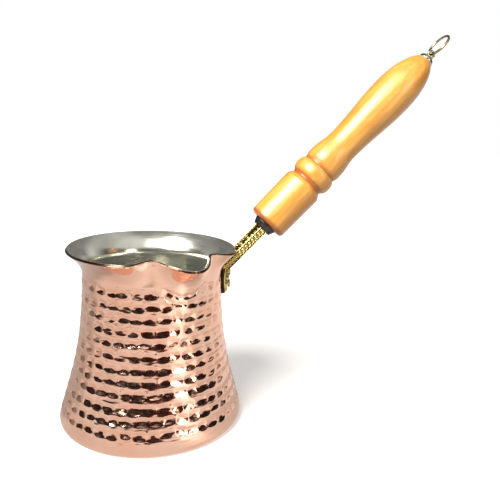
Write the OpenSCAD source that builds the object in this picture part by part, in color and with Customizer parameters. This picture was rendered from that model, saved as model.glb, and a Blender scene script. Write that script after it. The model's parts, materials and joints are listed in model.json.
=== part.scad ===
// Long-handled coffee pot (cezve): a hammered, tinned copper pot with a pinched pouring lip, a cast
// brass bracket riveted to its neck, and a turned wooden grip clamped by a tie rod that ends in an
// eye with a hanging ring.
// Frame: origin at the middle of the base's underside, +Z up the pot's axis, +X towards the handle.

/* [Pot] */
// Height of the rim's outer edge
pot_h = 89.2; // [74:0.2:110]
// Outer diameter at the widest part of the base
base_d = 93.6; // [82:0.2:114]
// Outer diameter of the neck
neck_d = 68; // [56:0.2:74]
// Outer diameter of the rim
rim_d = 83.6; // [78:0.2:94]
// Height over which the wide base draws in to the neck
swell_h = 34; // [24:0.5:40]
// How square the swell is
swell_power = 1.55; // [1.2:0.05:2]
// Rounding between the base and the side
base_round = 3.5; // [2.5:0.1:6]
// Height of the flared lip above the neck
flare_h = 11; // [8:0.5:14]
// How late the lip flares
flare_power = 1.8; // [1.4:0.1:2.4]
// Copper sheet thickness
copper_t = 1.2; // [0.8:0.1:1.8]
// Tin lining thickness
tin_t = 0.3; // [0.2:0.05:0.4]

/* [Pouring lip] */
// Direction of the lip round the pot, from the handle
lip_az = -69.5; // [-120:0.5:-60]
// Angle from the lip's middle to each pinch
pinch_at = 26; // [18:0.5:30]
// Width of each pinch, as an angle
pinch_w = 8; // [6:0.5:10]
// How far each pinch is pushed in
pinch_in = 6.6; // [3:0.1:8]
// How far each pinch stands up above the rim
pinch_up = 2.2; // [0:0.1:3]
// How far the lip reaches out past the rim
lip_out = 4.3; // [0:0.1:6]
// How far the lip dips below the rim
lip_drop = 2; // [0:0.1:3]
// How far the throat under the lip bulges from the neck
throat_out = 1.6; // [0:0.1:3]
// Width of the lip and its throat, as an angle
lip_w = 9; // [7:0.5:12]

/* [Bracket] */
// Depth of the leaf plate's middle below the rim
leaf_drop = 16; // [14:0.2:24]
// Length of the leaf plate
leaf_len = 18; // [16:0.2:24]
// Width of the leaf plate
leaf_w = 13; // [11:0.2:16]
// Thickness of the leaf plate at its edge
leaf_edge_t = 1.7; // [1.2:0.1:2.4]
// How far the leaf's crown stands off the neck
crown_t = 5.2; // [3:0.1:7]
// Width of the arm at the grip
arm_w = 12; // [9:0.2:14]
// Width of the arm at the neck
arm_neck_w = 8.4; // [6:0.2:11]
// Distance along the arm from the rim to the grip
arm_reach = 20.3; // [15:0.1:26]
// Clearance between the arm and the rim it passes
rim_gap = 0.5; // [0.3:0.1:3]
// Arm thickness above the handle's axis
arm_top_t = 2.6; // [2:0.1:3]
// Arm thickness below the handle's axis
arm_low_t = 1.8; // [1.2:0.1:3]
// Diameter of the arm's boss for the tie rod
boss_d = 6.4; // [5.8:0.1:8]
// Diameter of the rivet shanks
rivet_d = 3; // [2.5:0.1:3.4]
// Height of each rivet above or below the leaf's middle
rivet_dz = 3.2; // [3:0.1:5]
// Diameter of the rivets' inside heads
rivet_head_d = 6; // [5:0.1:6.4]
// Diameter of the rivets' outside heads
rivet_tail_d = 4.4; // [3.8:0.1:5.2]

/* [Grip] */
// Rise of the handle above level
handle_rise = 46.5; // [35:0.5:55]
// Length of the wooden grip
grip_len = 122.2; // [90:0.2:160]
// Diameter of the grip's plain lower end
grip_d = 21.2; // [18:0.2:26]
// Length of the plain lower end
grip_plain_len = 30.6; // [20:0.5:36]
// Diameter of the bead between the two grooves
bead_d = 22.6; // [20:0.2:28]
// Length of the bead
bead_len = 8; // [6:0.5:12]
// Depth of each groove
groove_t = 1.6; // [0.8:0.1:2]
// Diameter of the grip's waist
waist_d = 18.1; // [15:0.1:20]
// Diameter of the grip's bulge
bulge_d = 22.2; // [20:0.2:26]
// Length of the rounded tip, from the bulge
tip_len = 26.6; // [20:0.2:34]
// Diameter of the grip's flat end under the cap
grip_end_d = 8.6; // [7:0.1:10]
// Length of the dark collar at the grip's lower end
collar_len = 3.5; // [2:0.1:6]
// Diameter of the collar at the grip
collar_d = 12.8; // [10:0.1:18]
// Diameter of the collar at the bracket
collar_low_d = 10.6; // [8:0.1:16]

/* [Tie rod and ring] */
// Diameter of the tie rod
rod_d = 4; // [3:0.1:4.8]
// Depth of the tie rod in the bracket
rod_grab = 6.5; // [4:0.1:8]
// Diameter of the end cap
cap_d = 8.6; // [7.8:0.1:10]
// Height of the end cap
cap_h = 2.8; // [2.4:0.1:5]
// Depth of the tie rod in the end cap
rod_in_cap = 1.4; // [0.8:0.1:1.6]
// Diameter of the foot under the eye
foot_d = 4.4; // [3.6:0.1:6]
// Height of the foot under the eye
foot_h = 0.8; // [0.6:0.1:2]
// Diameter of the eye's threaded stud
stud_d = 2.2; // [1.6:0.1:2.4]
// Depth of the eye's stud in the tie rod
stud_grab = 6; // [4:0.5:10]
// Diameter of the eye's hole
eye_hole_d = 2.2; // [2.1:0.1:3]
// Wire diameter of the eye
eye_wire_d = 1.3; // [1:0.1:1.6]
// Outer diameter of the hanging ring
ring_d = 14.2; // [11:0.2:18]
// Wire diameter of the hanging ring
ring_wire_d = 1.25; // [1:0.05:1.5]
// Lean of the ring from the handle's line, towards its underside
ring_lean = -5; // [-30:1:30]

/* [Hidden] */
$fn = 96;

base_r = base_d / 2;
neck_r = neck_d / 2;
flare_z = pot_h - flare_h;
leaf_z = pot_h - leaf_drop;
seat_gap = 0.1;                  // between the neck and the cast bracket that sits on it
rod_gap = 0.25;                  // round the tie rod where it only passes through
stud_gap = 0.1;                  // round the eye's stud where it passes through the cap
cut = 1;                         // how far a cut runs past what it cuts

// The grip's lower end, on a line that clears the rim by the arm's half thickness and rim_gap
grip_x = rim_d / 2 + (arm_top_t + rim_gap) * sin(handle_rise) + arm_reach * cos(handle_rise);
grip_z = pot_h - (arm_top_t + rim_gap) * cos(handle_rise) + arm_reach * sin(handle_rise);

fine_step = 3.75;                // columns near the lip, degrees
coarse_step = 7.5;               // columns elsewhere, degrees
lip_span = 45;                   // half of the arc that has fine columns
round_rows = 4;
side_rows = 12;
flare_rows = 8;
top_row = round_rows + side_rows + flare_rows;

columns = [for (a = [-lip_span : fine_step : lip_span - fine_step]) lip_az + a,
           for (a = [lip_span : coarse_step : 360 - lip_span - coarse_step]) lip_az + a];

// ---- The pot's wall as a formula ----

function clamp01(x) = min(1, max(0, x));
function bell(x, width) = exp(-pow(x / width, 2) / 2);
function ease(x) = let (u = clamp01(x)) u * u * (3 - 2 * u);
function from_lip(az) = let (d = az - lip_az) d - 360 * round(d / 360);
function pinch(phi) = bell(phi - pinch_at, pinch_w) + bell(phi + pinch_at, pinch_w);

// Radius and height of the rim's outer edge at an angle from the lip
function rim_r(phi) = rim_d / 2 - pinch_in * pinch(phi) + lip_out * bell(phi, lip_w);
function rim_z(phi) = pot_h + pinch_up * pinch(phi) - lip_drop * bell(phi, lip_w);

// Radius of the round side, without flare or lip
function side_r(z) = neck_r + (base_r - neck_r) * exp(-pow(z / swell_h, swell_power));

// Outer radius of the wall at an angle from the lip
function wall_r(phi, z) =
    let (throat = throat_out * bell(phi, lip_w * 1.4) * ease((z - flare_z + 6) / 8),
         u = clamp01((z - flare_z) / (rim_z(phi) - flare_z)),
         r = side_r(z) + throat)
    r + (rim_r(phi) - r) * pow(u, flare_power);

// A point of the skin that lies at depth t under the outer surface, as [radius, height].
// Rows run up the base's rounding, the side and the flare.
function row_z(phi, row) =
    row <= round_rows + side_rows
        ? base_round + (flare_z - base_round) * (row - round_rows) / side_rows
        : flare_z + (rim_z(phi) - flare_z) * (row - round_rows - side_rows) / flare_rows;
function skin(phi, row, t) =
    row < round_rows
        ? let (a = 90 * row / round_rows - 90)
          [base_r - base_round + (base_round - t) * cos(a), base_round + (base_round - t) * sin(a)]
        : let (z = row_z(phi, row), dz = 0.05,
               slope = row == round_rows ? 0 : (wall_r(phi, z) - wall_r(phi, z - dz)) / dz,
               n = sqrt(1 + slope * slope))
          [wall_r(phi, z) - t / n, z + t * slope / n];
function skin_points(t) =
    [for (row = [0 : top_row], az = columns) let (p = skin(from_lip(az), row, t))
        [p.x * cos(az), p.x * sin(az), p.y]];

// A closed cup between two depths under the outer surface
module cup(t_out, t_in) {
    n = len(columns);
    inner = n * (top_row + 1);
    outer_faces = [for (row = [0 : top_row - 1], i = [0 : n - 1])
        let (a = row * n + i, b = row * n + (i + 1) % n)
        each [[a, a + n, b + n], [a, b + n, b]]];
    inner_faces = [for (f = outer_faces) [f[2] + inner, f[1] + inner, f[0] + inner]];
    rim_faces = [for (i = [0 : n - 1])
        let (a = top_row * n + i, b = top_row * n + (i + 1) % n)
        each [[a, a + inner, b + inner], [a, b + inner, b]]];
    floor_out = [[for (i = [0 : n - 1]) i]];
    floor_in = [[for (i = [n - 1 : -1 : 0]) i + inner]];
    polyhedron(
        concat(skin_points(t_out), skin_points(t_in)),
        concat(outer_faces, inner_faces, rim_faces, floor_out, floor_in), convexity = 8);
}

// The solid inside the wall's outer surface on the handle's side, grown by a gap
module neck_solid(z0, z1, gap) {
    steps = 20;
    far = 180;
    rotate_extrude()
        polygon([[0, z0],
                 for (i = [0 : steps]) let (z = z0 + (z1 - z0) * i / steps) [wall_r(far, z) + gap, z],
                 [0, z1]]);
}

// ---- Places along the handle ----

// The handle's own frame: +Z up the handle from the grip's lower end, +X out of its underside
module along_handle(z = 0)
    translate([grip_x, 0, grip_z]) rotate([0, 90 - handle_rise, 0]) translate([0, 0, z]) children();

rod_top = grip_len + rod_in_cap;
stud_z = rod_top - stud_grab;                   // lower end of the eye's stud
foot_z = grip_len + cap_h;
eye_r = (eye_hole_d + eye_wire_d) / 2;          // centreline radius of the eye
eye_z = foot_z + foot_h + eye_hole_d / 2 + eye_wire_d * 0.35;
ring_r = (ring_d - ring_wire_d) / 2;            // centreline radius of the ring
rivet_zs = [leaf_z + rivet_dz, leaf_z - rivet_dz];

// ---- Pot ----

module pot_body() color("#c9805f") difference() {
    cup(0, copper_t);
    rivet_holes();
}

module tin_lining() color("#c8c9c4") difference() {
    cup(copper_t, copper_t + tin_t);
    rivet_holes();
}

module rivet_holes()
    for (z = rivet_zs)
        translate([neck_r / 2, 0, z]) rotate([0, 90, 0]) cylinder(d = rivet_d, h = neck_r);

// ---- Bracket ----

crown_bury = 1.5;                // depth of the crown's axis inside the neck
crown_x = side_r(leaf_z) - crown_bury;
crown_r = crown_t + crown_bury;
crown_half = leaf_len * 0.6;     // half the crown's length
function crown_at(z) = crown_r * sqrt(max(0, 1 - pow((z - leaf_z) / crown_half, 2)));

// A pointed leaf in the plane of its width and height, between two arcs
module leaf_outline() {
    r = (pow(leaf_len / 2, 2) + pow(leaf_w / 2, 2)) / leaf_w;
    intersection_for(side = [-1, 1]) translate([side * (r - leaf_w / 2), leaf_z]) circle(r);
}

module leaf_plate() intersection() {
    translate([neck_r / 2, 0, 0]) rotate([90, 0, 90]) linear_extrude(neck_r) leaf_outline();
    union() {
        neck_solid(leaf_z - leaf_len, flare_z, leaf_edge_t + seat_gap);
        leaf_crown();
    }
}

module leaf_crown() {
    steps = 18;
    translate([crown_x, 0, 0]) rotate_extrude()
        polygon([for (i = [0 : steps]) let (z = leaf_z - crown_half * cos(180 * i / steps)) [crown_at(z), z]]);
}

// The arm lies along the handle's axis and runs into the neck
module arm() {
    length = (grip_x - neck_r) / cos(handle_rise);
    rim_at = length * 0.55;
    along_handle(-collar_len) rotate([0, 90, 0]) translate([0, 0, -arm_top_t])
        linear_extrude(arm_top_t + arm_low_t)
            polygon([[0, -arm_w / 2], [rim_at, -arm_w / 2 + 0.7], [length, -arm_neck_w / 2],
                     [length, arm_neck_w / 2], [rim_at, arm_w / 2 - 0.7], [0, arm_w / 2]]);
}

module rod_boss()
    along_handle(-collar_len - rod_grab - 1.5) cylinder(d = boss_d, h = rod_grab + 1.5);

module handle_bracket() color("#b39a4e") difference() {
    union() {
        leaf_plate();
        arm();
        rod_boss();
    }
    neck_solid(leaf_z - leaf_len, pot_h - 4, seat_gap);
    along_handle(-collar_len - rod_grab) cylinder(d = rod_d, h = rod_grab + cut);
    rivet_holes();
    for (z = rivet_zs) tail_seat(z);
}

// ---- Rivets ----

tail_sink = 0.6;                 // depth of the outside head in the crown
tail_h = 0.4;                    // height of the outside head above the crown
head_h = 1.1;                    // height of the inside head
head_gap = 0.1;                  // between the inside head and the curved lining
function tail_x(z) = crown_x + crown_at(z) - tail_sink;

// Seat of the outside head, let into the leaf's crown
module tail_seat(z)
    translate([tail_x(z), 0, z]) rotate([0, 90, 0]) cylinder(d = rivet_tail_d, h = crown_r);

module rivet(z) {
    // The inside head's flat underside clears the curved lining over its whole width
    inner_r = side_r(z + rivet_head_d / 2) - copper_t - tin_t;
    head_x = sqrt(pow(inner_r, 2) - pow(rivet_head_d / 2, 2)) - head_gap;
    translate([head_x - head_h, 0, z]) rotate([0, 90, 0]) rotate_extrude() polygon([
        [0, 0],
        [rivet_head_d * 0.3, 0],
        [rivet_head_d / 2, head_h],
        [rivet_d / 2, head_h],
        [rivet_d / 2, head_h + tail_x(z) - head_x],
        [rivet_tail_d / 2, head_h + tail_x(z) - head_x],
        [rivet_tail_d / 2, head_h + tail_x(z) - head_x + tail_sink],
        [rivet_tail_d * 0.35, head_h + tail_x(z) - head_x + tail_sink + tail_h],
        [0, head_h + tail_x(z) - head_x + tail_sink + tail_h]
    ]);
}

module rivet_upper() color("#b8793f") rivet(rivet_zs[0]);
module rivet_lower() color("#b8793f") rivet(rivet_zs[1]);

// ---- Grip ----

// A smooth half wave from one radius to another, as points [radius, height]
function wave(r0, z0, r1, z1, steps) =
    [for (i = [0 : steps]) [r0 + (r1 - r0) * (1 - cos(180 * i / steps)) / 2, z0 + (z1 - z0) * i / steps]];

// The rounded tip: a blunt ellipse cut off at the flat end
function tip_r(u) = bulge_d / 2 * sqrt(1 - pow(u, 2.2));
tip_cut = pow(1 - pow(grip_end_d / bulge_d, 2), 1 / 2.2);

edge_round = 1.8;                // rounding of the grip's lower edge
plain_swell = 0.4;               // how far the plain end swells towards the groove
groove_w = 3;                    // width of each groove
groove_lip = 0.5;                // rounding of the groove's edges
shoulder_len = 4.4;
bead_z = grip_plain_len + groove_w / 2;
bead_foot_r = grip_d / 2 - groove_t * 0.6;
shoulder_z = bead_z + bead_len + groove_w / 2;
shoulder_r = (grip_d + waist_d) / 4 + 0.7;
bulge_z = grip_len - tip_len;
waist_z = shoulder_z + shoulder_len + (bulge_z - shoulder_z - shoulder_len) * 0.24;

module wood_grip() color("#e3a253") along_handle() difference() {
    rotate_extrude() polygon([
        [0, 0],
        for (a = [-90 : 15 : 0])
            [grip_d / 2 - edge_round * (1 - cos(a)), edge_round * (1 + sin(a))],
        [grip_d / 2 + plain_swell, grip_plain_len - groove_w],
        [grip_d / 2 - groove_lip, grip_plain_len - groove_w / 2],
        [grip_d / 2 - groove_t, grip_plain_len],
        for (a = [0 : 15 : 180])
            [bead_foot_r + (bead_d / 2 - bead_foot_r) * sin(a), bead_z + bead_len / 2 * (1 - cos(a))],
        [shoulder_r - groove_lip, shoulder_z],
        [shoulder_r, shoulder_z + groove_w / 2],
        each wave(shoulder_r, shoulder_z + shoulder_len, waist_d / 2, waist_z, 8),
        each wave(waist_d / 2, waist_z + 2, bulge_d / 2, bulge_z, 12),
        for (i = [1 : 14]) let (u = tip_cut * sin(90 * i / 14))
            [tip_r(u), bulge_z + u / tip_cut * tip_len],
        [0, grip_len]
    ]);
    translate([0, 0, -cut]) cylinder(d = rod_d + 2 * rod_gap, h = grip_len + 2 * cut);
}

module collar() color("#4a4a48") along_handle(-collar_len) difference() {
    cylinder(d1 = collar_low_d, d2 = collar_d, h = collar_len);
    translate([0, 0, -cut]) cylinder(d = rod_d + 2 * rod_gap, h = collar_len + 2 * cut);
}

// The rod's far end is tapped for the eye's stud
module tie_rod() color("#8d8f92") difference() {
    along_handle(-collar_len - rod_grab) cylinder(d = rod_d, h = collar_len + rod_grab + rod_top);
    along_handle(stud_z) cylinder(d = stud_d, h = stud_grab + cut);
}

// ---- End fitting ----

cap_rim = 0.15;                  // straight part of the cap's side, as a share of its height

module end_cap() color("#77756c") along_handle(grip_len) difference() {
    rotate_extrude() polygon([
        [0, 0],
        [cap_d / 2, 0],
        for (a = [0 : 15 : 90])
            [foot_d / 2 + (cap_d - foot_d) / 2 * cos(a), cap_h * (cap_rim + (1 - cap_rim) * sin(a))],
        [0, cap_h]
    ]);
    translate([0, 0, -cut]) cylinder(d = rod_d + 2 * rod_gap, h = rod_in_cap + rod_gap + cut);
    cylinder(d = stud_d + 2 * stud_gap, h = cap_h + cut);
}

// An eye bolt that screws into the rod and clamps the cap on the wood
module hanging_eye() color("#77756c") along_handle() {
    translate([0, 0, stud_z]) cylinder(d = stud_d, h = foot_z - stud_z + foot_h / 2);
    translate([0, 0, foot_z]) cylinder(d = foot_d, h = foot_h);
    translate([0, 0, eye_z]) rotate([90, 0, 0]) rotate_extrude()
        translate([eye_r, 0]) circle(d = eye_wire_d);
}

// The ring's wire runs through the middle of the eye's hole
module hanging_ring() color("#6f6c60")
    along_handle(eye_z) rotate([0, ring_lean, 0]) translate([0, 0, ring_r]) rotate([0, 90, 0])
        rotate_extrude() translate([ring_r, 0]) circle(d = ring_wire_d);

pot_body();
tin_lining();
handle_bracket();
rivet_upper();
rivet_lower();
collar();
wood_grip();
tie_rod();
end_cap();
hanging_eye();
hanging_ring();
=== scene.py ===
"""A long-handled hammered copper coffee pot (cezve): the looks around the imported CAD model.

Every piece is shaped in millimetres, in the part's own frame (origin under the base, +Z up, +X towards
the handle), and scaled to metres last. The hanging eye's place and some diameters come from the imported
frame. The other sizes repeat the part's own.
"""
import json
import math

import bpy
import numpy as np
from mathutils import Matrix, Vector


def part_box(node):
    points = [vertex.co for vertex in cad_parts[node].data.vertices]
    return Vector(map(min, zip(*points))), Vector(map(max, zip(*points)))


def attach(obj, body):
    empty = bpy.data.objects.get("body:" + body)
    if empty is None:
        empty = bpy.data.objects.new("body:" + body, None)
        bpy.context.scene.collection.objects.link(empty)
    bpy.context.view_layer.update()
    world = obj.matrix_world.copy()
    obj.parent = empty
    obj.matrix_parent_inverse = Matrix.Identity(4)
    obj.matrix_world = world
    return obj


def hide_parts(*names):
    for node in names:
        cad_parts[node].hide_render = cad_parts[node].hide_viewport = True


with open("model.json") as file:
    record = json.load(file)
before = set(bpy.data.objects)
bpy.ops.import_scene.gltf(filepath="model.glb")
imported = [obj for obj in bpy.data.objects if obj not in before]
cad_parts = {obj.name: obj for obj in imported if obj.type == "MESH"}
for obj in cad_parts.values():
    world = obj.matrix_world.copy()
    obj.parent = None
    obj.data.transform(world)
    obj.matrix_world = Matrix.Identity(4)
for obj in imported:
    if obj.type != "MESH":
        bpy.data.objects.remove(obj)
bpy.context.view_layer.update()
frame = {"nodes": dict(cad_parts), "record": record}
MM = 0.001
rng = np.random.default_rng(11)

# ---- Sizes of the part, in millimetres and degrees ----

def width(cad_node):
    """A node's width across the handle, which is the diameter of a turned piece."""
    low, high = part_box(cad_node)
    return (high[1] - low[1]) / MM


# The pot's wall
POT_H, BASE_D, NECK_D, RIM_D = 89.2, 93.6, 68.0, 83.6
SWELL_H, SWELL_POWER, BASE_ROUND = 34.0, 1.55, 3.5
FLARE_H, FLARE_POWER = 11.0, 1.8
COPPER_T, TIN_T = 1.2, 0.3
FLARE_Z = POT_H - FLARE_H
NECK_R, BASE_R = NECK_D / 2, BASE_D / 2

# The lip, and a pinch on each side of it
LIP_AZ, LIP_W, LIP_OUT, LIP_DROP, THROAT_OUT = -69.5, 9.0, 4.3, 2.0, 1.6
PINCH_AT, PINCH_W, PINCH_IN, PINCH_UP = 26.0, 8.0, 6.6, 2.2

# The bracket
RISE = math.radians(46.5)
ARM_TOP_T, ARM_LOW_T, ARM_W, ARM_NECK_W = 2.6, 1.8, 12.0, 8.4
LEAF_Z, LEAF_LEN, LEAF_W = POT_H - 16, 18.0, width("handle_bracket")
LEAF_EDGE_T, CROWN_T, CROWN_BURY, SEAT_GAP = 1.7, 5.2, 1.5, 0.1
BOSS_D, ROD_GRAB = 6.4, 6.5
COLLAR_LEN, COLLAR_D, COLLAR_LOW_D = 3.5, width("collar"), 10.6

# The grip
GRIP_LEN, GRIP_D, GRIP_PLAIN, BEAD_D, BEAD_LEN = 122.2, 21.2, 30.6, width("wood_grip"), 8.0
GROOVE_T, GROOVE_W, WAIST_D, BULGE_D, TIP_LEN, GRIP_END_D = 1.6, 3.0, 18.1, 22.2, 26.6, 8.6
BORE_R = 2.25

# The end fitting
CAP_D, CAP_H, FOOT_D, FOOT_H = 8.6, 2.8, 4.4, 0.8
EYE_HOLE, EYE_WIRE = 2.2, 1.3
RING_D, RING_WIRE, RING_LEAN = width("hanging_ring"), 1.25, math.radians(-5)

# The handle's own frame: AXIS runs up the handle, UNDER points out of its underside
AXIS = np.array([math.cos(RISE), 0.0, math.sin(RISE)])
UNDER = np.array([math.sin(RISE), 0.0, -math.cos(RISE)])
SIDE = np.array([0.0, 1.0, 0.0])

# The ring turns about the middle of the eye, and the wood starts EYE_UP below it
EYE_AT = np.array(frame["record"]["behaviour"]["joints"][0]["pos_m"]) / MM
EYE_UP = GRIP_LEN + CAP_H + FOOT_H + EYE_HOLE / 2 + EYE_WIRE * 0.35
GRIP_AT = EYE_AT - EYE_UP * AXIS
ARM_LEN = (GRIP_AT[0] - NECK_R) / math.cos(RISE)


# ---- Meshes ----

def grid_mesh(name, points, wrap=True, cap_first=False, cap_last=False, smooth=True, attributes=None):
    """A mesh over a grid of points (rows, columns, 3) in millimetres. Columns close on themselves
    where wrap is set. A capped end gets one point in its middle."""
    rows, cols = points.shape[:2]
    co = points.reshape(-1, 3)
    index = np.arange(rows * cols).reshape(rows, cols)
    nxt = np.roll(index, -1, axis=1) if wrap else index[:, 1:]
    cur = index if wrap else index[:, :-1]
    quads = np.stack([cur[:-1], nxt[:-1], nxt[1:], cur[1:]], axis=-1).reshape(-1, 4)
    tris = []
    extra = []
    for on, row, flip in ((cap_first, 0, True), (cap_last, rows - 1, False)):
        if on:
            centre = rows * cols + len(extra)
            extra.append(points[row].mean(axis=0))
            a, b = index[row], np.roll(index[row], -1)
            ring = np.stack([b, a] if flip else [a, b], axis=-1)
            tris.append(np.column_stack([ring, np.full(len(ring), centre)]))
    if extra:
        co = np.vstack([co, np.array(extra)])
    loops = [quads.ravel()] + [t.ravel() for t in tris]
    sizes = [np.full(len(quads), 4)] + [np.full(len(t), 3) for t in tris]
    loops, sizes = np.concatenate(loops), np.concatenate(sizes)
    mesh = bpy.data.meshes.new(name)
    mesh.vertices.add(len(co))
    mesh.vertices.foreach_set("co", (co * MM).astype(np.float32).ravel())
    mesh.loops.add(len(loops))
    mesh.loops.foreach_set("vertex_index", loops.astype(np.int32))
    mesh.polygons.add(len(sizes))
    mesh.polygons.foreach_set("loop_start", np.concatenate([[0], np.cumsum(sizes)[:-1]]).astype(np.int32))
    mesh.polygons.foreach_set("loop_total", sizes.astype(np.int32))
    mesh.polygons.foreach_set("use_smooth", np.full(len(sizes), smooth))
    for key, values in (attributes or {}).items():
        values = np.asarray(values, float)
        flat = values.reshape(rows * cols, -1)
        if len(extra):
            flat = np.vstack([flat, np.zeros((len(extra), flat.shape[1]))])
        if flat.shape[1] == 3:
            layer = mesh.attributes.new(key, "FLOAT_VECTOR", "POINT")
            layer.data.foreach_set("vector", flat.astype(np.float32).ravel())
        else:
            layer = mesh.attributes.new(key, "FLOAT", "POINT")
            layer.data.foreach_set("value", flat.astype(np.float32).ravel())
    mesh.update()
    mesh.validate()
    obj = bpy.data.objects.new(name, mesh)
    bpy.context.scene.collection.objects.link(obj)
    return obj


def place(points, at=GRIP_AT, x=UNDER, y=SIDE, z=AXIS):
    """Points of a local frame, put in the part's frame."""
    return at + points[..., :1] * x + points[..., 1:2] * y + points[..., 2:3] * z


def lathe(name, profile, at, z, x, columns=96, attributes=None):
    """A solid of revolution: profile is [(radius, height)] from one end of the axis to the other."""
    profile = np.array(profile, float)
    y = np.cross(z, x)
    a = np.linspace(0, 2 * math.pi, columns, endpoint=False)
    local = np.stack([profile[:, :1] * np.cos(a), profile[:, :1] * np.sin(a),
                      np.repeat(profile[:, 1:], columns, axis=1)], axis=-1)
    points = place(local, at, x, y, z)
    extra = {k: f(local) for k, f in (attributes or {}).items()}
    return grid_mesh(name, points, cap_first=True, cap_last=True, attributes=extra)


def torus(name, at, normal, x, r, wire, columns, squash=None):
    """A ring of wire round at. squash gives the wire's thickness around the ring, as a share."""
    sides = 24
    y = np.cross(normal, x)
    a = np.linspace(0, 2 * math.pi, columns, endpoint=False)[:, None]
    b = np.linspace(0, 2 * math.pi, sides, endpoint=False)[None, :]
    w = wire / 2 * (1 if squash is None else squash(a))
    rad = r + w * np.cos(b)
    local = np.stack([rad * np.cos(a), rad * np.sin(a), w * np.sin(b) + 0 * a], axis=-1)
    points = place(local, at, x, y, normal)
    rows = np.concatenate([points, points[:1]])
    return grid_mesh(name, rows)


def bell(x, spread):
    return np.exp(-np.square(x / spread) / 2)


def ease(x):
    """Goes smoothly from 0 to 1 as x does, and stays there."""
    u = np.clip(x, 0, 1)
    return u * u * (3 - 2 * u)


def arc(first, last, count):
    """Angles in radians, from first to last in degrees."""
    return np.radians(np.linspace(first, last, count))


# ---- The pot's wall, as in the part ----

def from_lip(az):
    """Degrees from the middle of the lip."""
    d = az - LIP_AZ
    return d - 360 * np.round(d / 360)


def pinch(phi):
    return bell(phi - PINCH_AT, PINCH_W) + bell(phi + PINCH_AT, PINCH_W)


def rim_r(phi):
    return RIM_D / 2 - PINCH_IN * pinch(phi) + LIP_OUT * bell(phi, LIP_W)


def rim_z(phi):
    return POT_H + PINCH_UP * pinch(phi) - LIP_DROP * bell(phi, LIP_W)


def side_r(z):
    return NECK_R + (BASE_R - NECK_R) * np.exp(-np.power(np.maximum(z, 0) / SWELL_H, SWELL_POWER))


def wall_r(phi, z):
    throat = THROAT_OUT * bell(phi, LIP_W * 1.4) * ease((z - FLARE_Z + 6) / 8)
    u = np.clip((z - FLARE_Z) / (rim_z(phi) - FLARE_Z), 0, 1)
    r = side_r(z) + throat
    return r + (rim_r(phi) - r) * np.power(u, FLARE_POWER)


# The foot's rounding ends where the wall leans by FOOT_TILT degrees, so they meet without a step.
# INNER_FOOT is the radius where it starts.
FOOT_TILT = 9.2
FOOT_TOP = BASE_ROUND * (1 + math.sin(math.radians(FOOT_TILT)))
INNER_FOOT = float(side_r(np.array(FOOT_TOP))) - BASE_ROUND * math.cos(math.radians(FOOT_TILT))
SLOPE_STEP = 0.05


def skin(phi, z, t):
    """Radius and height at depth t under the wall's outer surface."""
    slope = np.where(z <= BASE_ROUND, 0.0, (wall_r(phi, z) - wall_r(phi, z - SLOPE_STEP)) / SLOPE_STEP)
    n = np.sqrt(1 + slope * slope)
    return wall_r(phi, z) - t / n, z + t * slope / n


def rim_edge(phi, t, back):
    """A point of the sheet's edge: t deep from the outside, back from the edge along the wall."""
    z = rim_z(phi)
    slope = (wall_r(phi, z) - wall_r(phi, z - SLOPE_STEP)) / SLOPE_STEP
    n = np.sqrt(1 + slope * slope)
    return wall_r(phi, z) - t / n - back * slope / n, z + t * slope / n - back / n


def ring_rows(phi, az, rows):
    """Points (rows, columns, 3) from a list of (radius, height) pairs per row."""
    out = []
    for r, z in rows:
        r, z = r + 0 * phi, z + 0 * phi
        out.append(np.stack([r * np.cos(np.radians(az)), r * np.sin(np.radians(az)), z], axis=-1))
    return np.array(out)


# ---- Hammering ----

# The curved crease under the lip: its middle in degrees from the lip, its height and how fast it rises
SMILE_MID, SMILE_Z, SMILE_RISE = 1.0, 73.4, 0.0145
# Rows of marks, and the marks in a row. A mark reaches further below its middle than above it.
# HAMMER_TOP is the height where the marks fade out.
ROW_LOW, ROW_PITCH, ROW_COUNT, ROW_DEEP = 11.0, 5.854, 12, 0.09
MARK_PITCH, MARK_HALF_W, MARK_BELOW, MARK_ABOVE, MARK_DEEP = 6.3, 3.35, 3.05, 1.75, 0.57
MARK_MID, MARK_REACH_Z, MARK_REACH_AZ = 0.5, 4.5, 7.5
HAMMER_TOP = 77.2


def smile_z(phi):
    return SMILE_Z + SMILE_RISE * np.square(phi - SMILE_MID)


def planished(shape, tall, wide):
    """Soft random unevenness over a grid, closed around the pot: sizes are in grid steps."""
    fy = np.fft.fftfreq(shape[0])[:, None]
    fx = np.fft.rfftfreq(shape[1])[None, :]
    soft = np.exp(-2 * np.square(math.pi) * (np.square(fy * tall) + np.square(fx * wide)))
    field = np.fft.irfft2(np.fft.rfft2(rng.normal(0, 1, shape)) * soft, s=shape)
    return np.clip(field / field.std(), -2.5, 2.5) * 0.5 + 0.5


def bowl(q):
    """Depth of a mark, as a share: 1 in its middle, where q is 0, and 0 at its edge, where q is 1."""
    q = np.clip(q, 0, 1)
    shape = 1 - np.sqrt(q * q + 0.03) + 0.173 - 0.158 * q
    return np.maximum(shape, 0) * ease((1.03 - q) / 0.2)


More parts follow.
